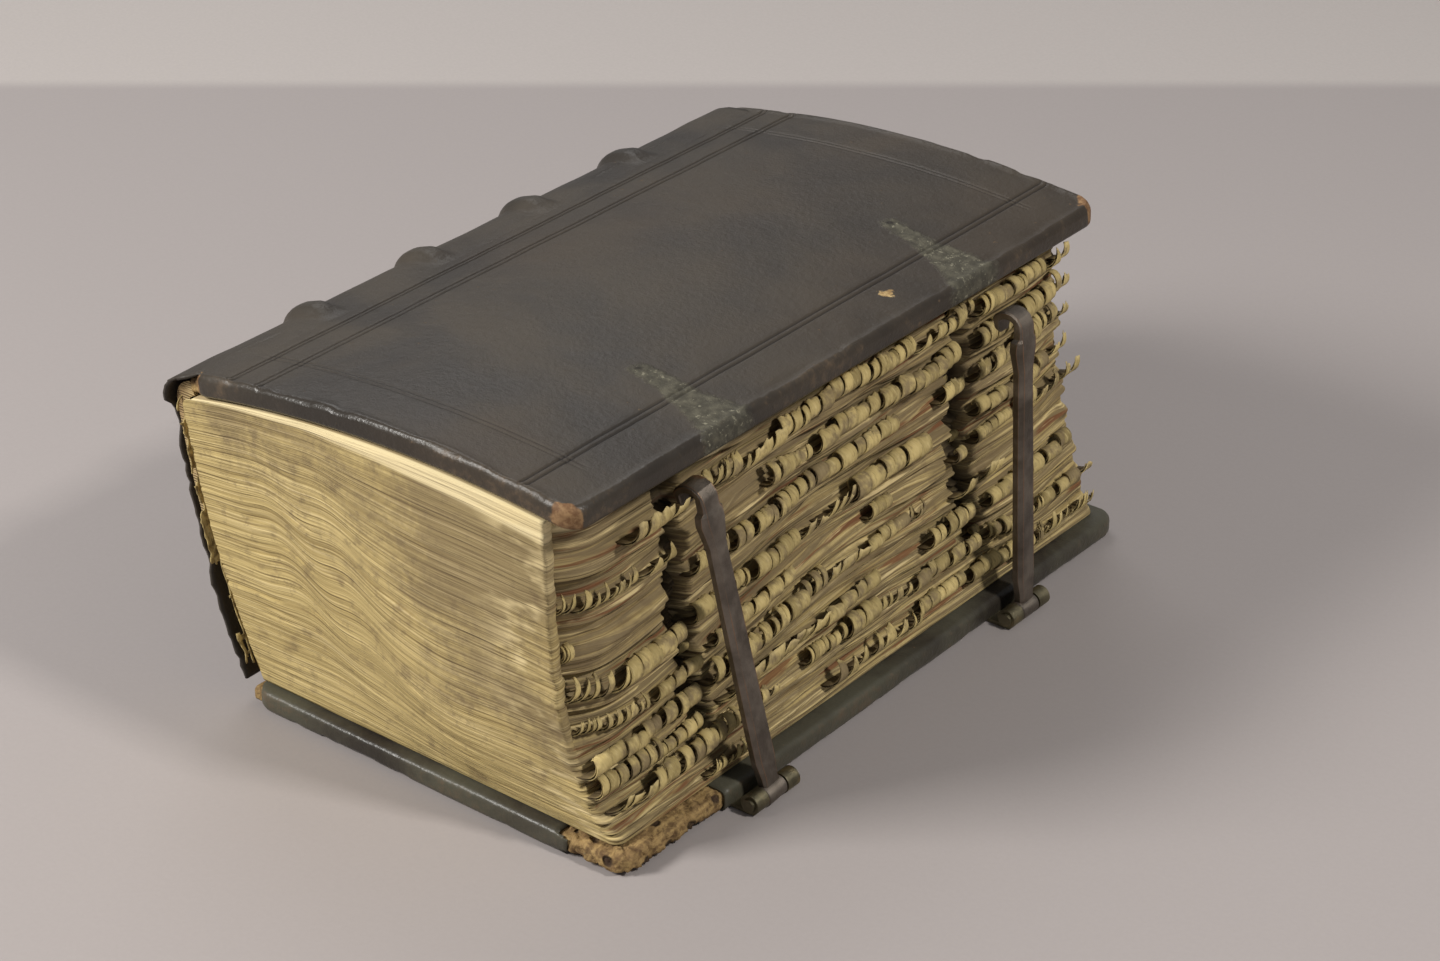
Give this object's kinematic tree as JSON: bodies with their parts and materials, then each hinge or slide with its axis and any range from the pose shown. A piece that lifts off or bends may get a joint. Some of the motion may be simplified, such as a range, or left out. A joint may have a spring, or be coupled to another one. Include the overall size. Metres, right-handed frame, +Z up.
{
  "type": "antique leather book",
  "caption": "Thick old book in worn dark leather over wooden boards, with raised bands on the spine, brass fore-edge clasps and curled, cockled leaf edges.",
  "frame": {"origin": "middle of the lower cover's underside, between its joint edge and its fore-edge and between its tail and its head", "axes": "+X from the spine to the fore-edge, +Y from the tail to the head, +Z up out of the upper cover; the book lies on its lower cover"},
  "size_m": [0.1351, 0.1962, 0.0908],
  "materials": {
    "cover_leather": "worn, softly polished",
    "paper": "old rag paper, cockled and stained",
    "board_wood": "bare, worm-eaten",
    "tawed_skin": "matt",
    "linen": "glued, frayed",
    "clasp_brass": "tarnished brown"
  },
  "bodies": {
    "lower_cover": {"lower_board": "board_wood", "lower_leather": "cover_leather", "lower_pastedown": "paper", "lower_thong_slips": "tawed_skin", "lower_pegs": "board_wood", "hinge_plate_near": "clasp_brass", "hinge_plate_far": "clasp_brass", "hinge_pin_near": "clasp_brass", "hinge_pin_far": "clasp_brass", "hinge_plate_rivets": "clasp_brass"},
    "block": {"text_block": "paper", "spine_leather": "cover_leather", "spine_linings": "linen", "tail_endband": "linen", "head_endband": "linen", "sewing_thong_1": "tawed_skin", "sewing_thong_2": "tawed_skin", "sewing_thong_3": "tawed_skin", "sewing_thong_4": "tawed_skin"},
    "upper_cover": {"upper_board": "board_wood", "upper_leather": "cover_leather", "upper_pastedown": "paper", "upper_thong_slips": "tawed_skin", "upper_pegs": "board_wood"},
    "near_clasp": {"clasp_near": "clasp_brass"},
    "far_clasp": {"clasp_far": "clasp_brass"}
  },
  "joints": [
    {"name": "lower_cover_joint", "type": "hinge", "parent": "lower_cover", "child": "block", "pos_m": [-0.05525, 0, 0], "axis": [0, -1, 0], "range_deg": [0, 50]},
    {"name": "upper_cover_joint", "type": "hinge", "parent": "block", "child": "upper_cover", "pos_m": [-0.06325, -0.0042, 0.0837], "axis": [0, -1, 0], "range_deg": [0, 120]},
    {"name": "near_clasp_hinge", "type": "hinge", "parent": "lower_cover", "child": "near_clasp", "pos_m": [0.05995, -0.051, 0.0024], "axis": [0, 1, 0], "range_deg": [0, 98]},
    {"name": "far_clasp_hinge", "type": "hinge", "parent": "lower_cover", "child": "far_clasp", "pos_m": [0.05995, 0.047, 0.0024], "axis": [0, 1, 0], "range_deg": [0, 92]}
  ]
}
